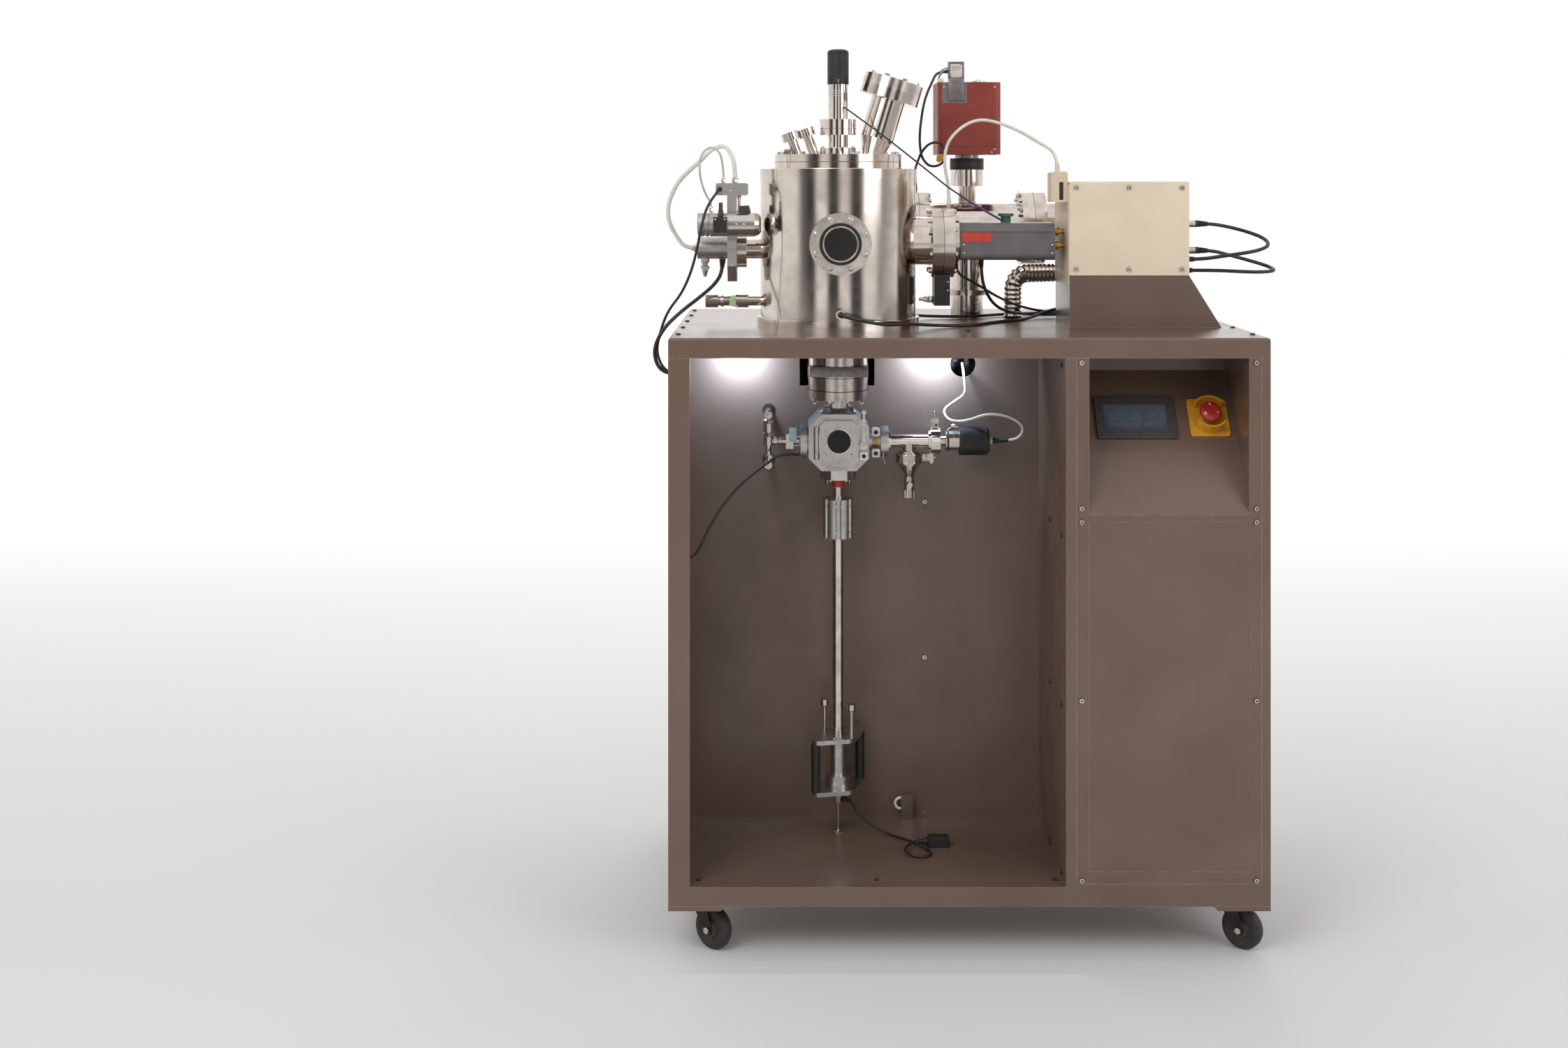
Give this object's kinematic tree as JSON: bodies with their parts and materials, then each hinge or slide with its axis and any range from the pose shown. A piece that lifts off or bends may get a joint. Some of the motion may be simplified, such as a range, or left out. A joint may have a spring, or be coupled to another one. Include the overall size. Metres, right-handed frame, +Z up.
{
  "type": "thermal desorption spectrometer",
  "caption": "Cabinet on casters with a vacuum chamber, analyser and pump pipework on top, and a load lock with a magnetic sample transfer line in its open bay.",
  "frame": {"origin": "centre of the footprint on the floor", "axes": "+X to the right seen from the front, +Y away from the front, +Z up"},
  "size_m": [1.1924, 0.682, 1.6353],
  "materials": {
    "cabinet_paint": "semi-gloss taupe powder coat",
    "red_paint": "satin red enamel",
    "cream_paint": "satin cream enamel",
    "grey_metal": "satin dark grey",
    "polished_steel": "polished stainless steel",
    "brushed_steel": "turned stainless steel",
    "bolt_steel": "plated steel",
    "black_plastic": "matt black",
    "grey_plastic": "matt grey",
    "white_plastic": "matt white",
    "yellow_plastic": "satin yellow",
    "red_plastic": "gloss red",
    "wheel_rubber": "matt rubber",
    "screen_glass": "dark glossy screen",
    "clear_glass": "clear",
    "cord_black": "matt black jacket"
  },
  "bodies": {
    "cabinet": {"front_frame": "cabinet_paint", "base_tray": "cabinet_paint", "table_top": "cabinet_paint", "side_panels": "cabinet_paint", "rear_panel": "cabinet_paint", "bay_back_wall": "cabinet_paint", "bay_partition": "cabinet_paint", "control_fascia": "cabinet_paint", "lower_front_panel": "cabinet_paint", "panel_screws": "bolt_steel", "bay_lamps": "white_plastic", "touch_panel": "grey_plastic", "touch_screen": "screen_glass", "emo_guard": "yellow_plastic", "analysis_chamber": "polished_steel", "chamber_lid": "polished_steel", "mating_flanges": "brushed_steel", "viewport_glass": "clear_glass", "top_feedthrough": "polished_steel", "analyser_housing": "grey_metal", "rf_box": "cream_paint", "rf_stand": "cabinet_paint", "signal_connectors": "brushed_steel", "pump_manifold": "polished_steel", "gauge_head": "red_paint", "turbo_pump": "brushed_steel", "foreline_bellows": "polished_steel", "inlet_valve": "brushed_steel", "gate_valve": "brushed_steel", "lock_neck": "brushed_steel", "load_lock_body": "polished_steel", "gas_line": "polished_steel", "pump_tee": "polished_steel", "vacuum_gauge": "black_plastic", "vent_valve": "polished_steel", "transfer_tube": "polished_steel", "tube_coupler": "bolt_steel", "flange_bolts": "bolt_steel", "floor_fittings": "black_plastic", "bay_cords": "cord_black", "upper_cables": "cord_black", "table_cables": "cord_black"},
    "front_left_caster": {"front_left_fork": "bolt_steel"},
    "front_left_roller": {"front_left_wheel": "wheel_rubber"},
    "front_right_caster": {"front_right_fork": "bolt_steel"},
    "front_right_roller": {"front_right_wheel": "wheel_rubber"},
    "rear_left_caster": {"rear_left_fork": "bolt_steel"},
    "rear_left_roller": {"rear_left_wheel": "wheel_rubber"},
    "rear_right_caster": {"rear_right_fork": "bolt_steel"},
    "rear_right_roller": {"rear_right_wheel": "wheel_rubber"},
    "emo_plunger": {"emo_stem": "black_plastic"},
    "emo_mushroom": {"emo_head": "red_plastic"},
    "sample_carriage": {"carriage": "bolt_steel", "carriage_grips": "white_plastic", "transfer_rod": "polished_steel"},
    "lock_door": {"load_lock_door": "brushed_steel", "door_window": "clear_glass"},
    "door_latch": {"door_lever": "bolt_steel"},
    "manipulator_knob": {"feedthrough_knob": "black_plastic"},
    "vent_handle": {"vent_knob": "black_plastic"}
  },
  "joints": [
    {"name": "front_left_swivel", "type": "hinge", "parent": "cabinet", "child": "front_left_caster", "pos_m": [-0.477, -0.26, 0.09], "axis": [0, 0, 1], "continuous": true},
    {"name": "front_left_spin", "type": "hinge", "parent": "front_left_caster", "child": "front_left_roller", "pos_m": [-0.45494, -0.27724, 0.0375], "axis": [0.6157, 0.788, 0], "continuous": true},
    {"name": "front_right_swivel", "type": "hinge", "parent": "cabinet", "child": "front_right_caster", "pos_m": [0.477, -0.26, 0.09], "axis": [0, 0, 1], "continuous": true},
    {"name": "front_right_spin", "type": "hinge", "parent": "front_right_caster", "child": "front_right_roller", "pos_m": [0.49906, -0.27724, 0.0375], "axis": [0.6157, 0.788, 0], "continuous": true},
    {"name": "rear_left_swivel", "type": "hinge", "parent": "cabinet", "child": "rear_left_caster", "pos_m": [-0.477, 0.26, 0.09], "axis": [0, 0, 1], "continuous": true},
    {"name": "rear_left_spin", "type": "hinge", "parent": "rear_left_caster", "child": "rear_left_roller", "pos_m": [-0.45494, 0.24276, 0.0375], "axis": [0.6157, 0.788, 0], "continuous": true},
    {"name": "rear_right_swivel", "type": "hinge", "parent": "cabinet", "child": "rear_right_caster", "pos_m": [0.477, 0.26, 0.09], "axis": [0, 0, 1], "continuous": true},
    {"name": "rear_right_spin", "type": "hinge", "parent": "rear_right_caster", "child": "rear_right_roller", "pos_m": [0.49906, 0.24276, 0.0375], "axis": [0.6157, 0.788, 0], "continuous": true},
    {"name": "emo_press", "type": "slide", "parent": "cabinet", "child": "emo_plunger", "axis": [0, 0.7902, -0.6129], "range_m": [0, 0.005], "stiffness_N_per_m": 1200},
    {"name": "emo_release", "type": "hinge", "parent": "emo_plunger", "child": "emo_mushroom", "pos_m": [0.45, -0.22232, 0.94771], "axis": [0, 0.7902, -0.6129], "range_deg": [0, 45], "stiffness_Nm_per_rad": 0.1},
    {"name": "carriage_lift", "type": "slide", "parent": "cabinet", "child": "sample_carriage", "axis": [0, 0, 1], "range_m": [0, 0.31]},
    {"name": "door_swing", "type": "hinge", "parent": "cabinet", "child": "lock_door", "pos_m": [-0.2675, -0.136, 0.8885], "axis": [0, 0, 1], "range_deg": [-110, 0]},
    {"name": "latch_turn", "type": "hinge", "parent": "cabinet", "child": "door_latch", "pos_m": [-0.178, -0.134, 0.884], "axis": [0, 1, 0], "range_deg": [0, 90]},
    {"name": "manipulator_turn", "type": "hinge", "parent": "cabinet", "child": "manipulator_knob", "pos_m": [-0.225, -0.073, 1.6], "axis": [0, 0, 1], "continuous": true},
    {"name": "vent_turn", "type": "hinge", "parent": "cabinet", "child": "vent_handle", "pos_m": [-0.0885, -0.073, 0.785], "axis": [0, 0, 1], "continuous": true}
  ]
}
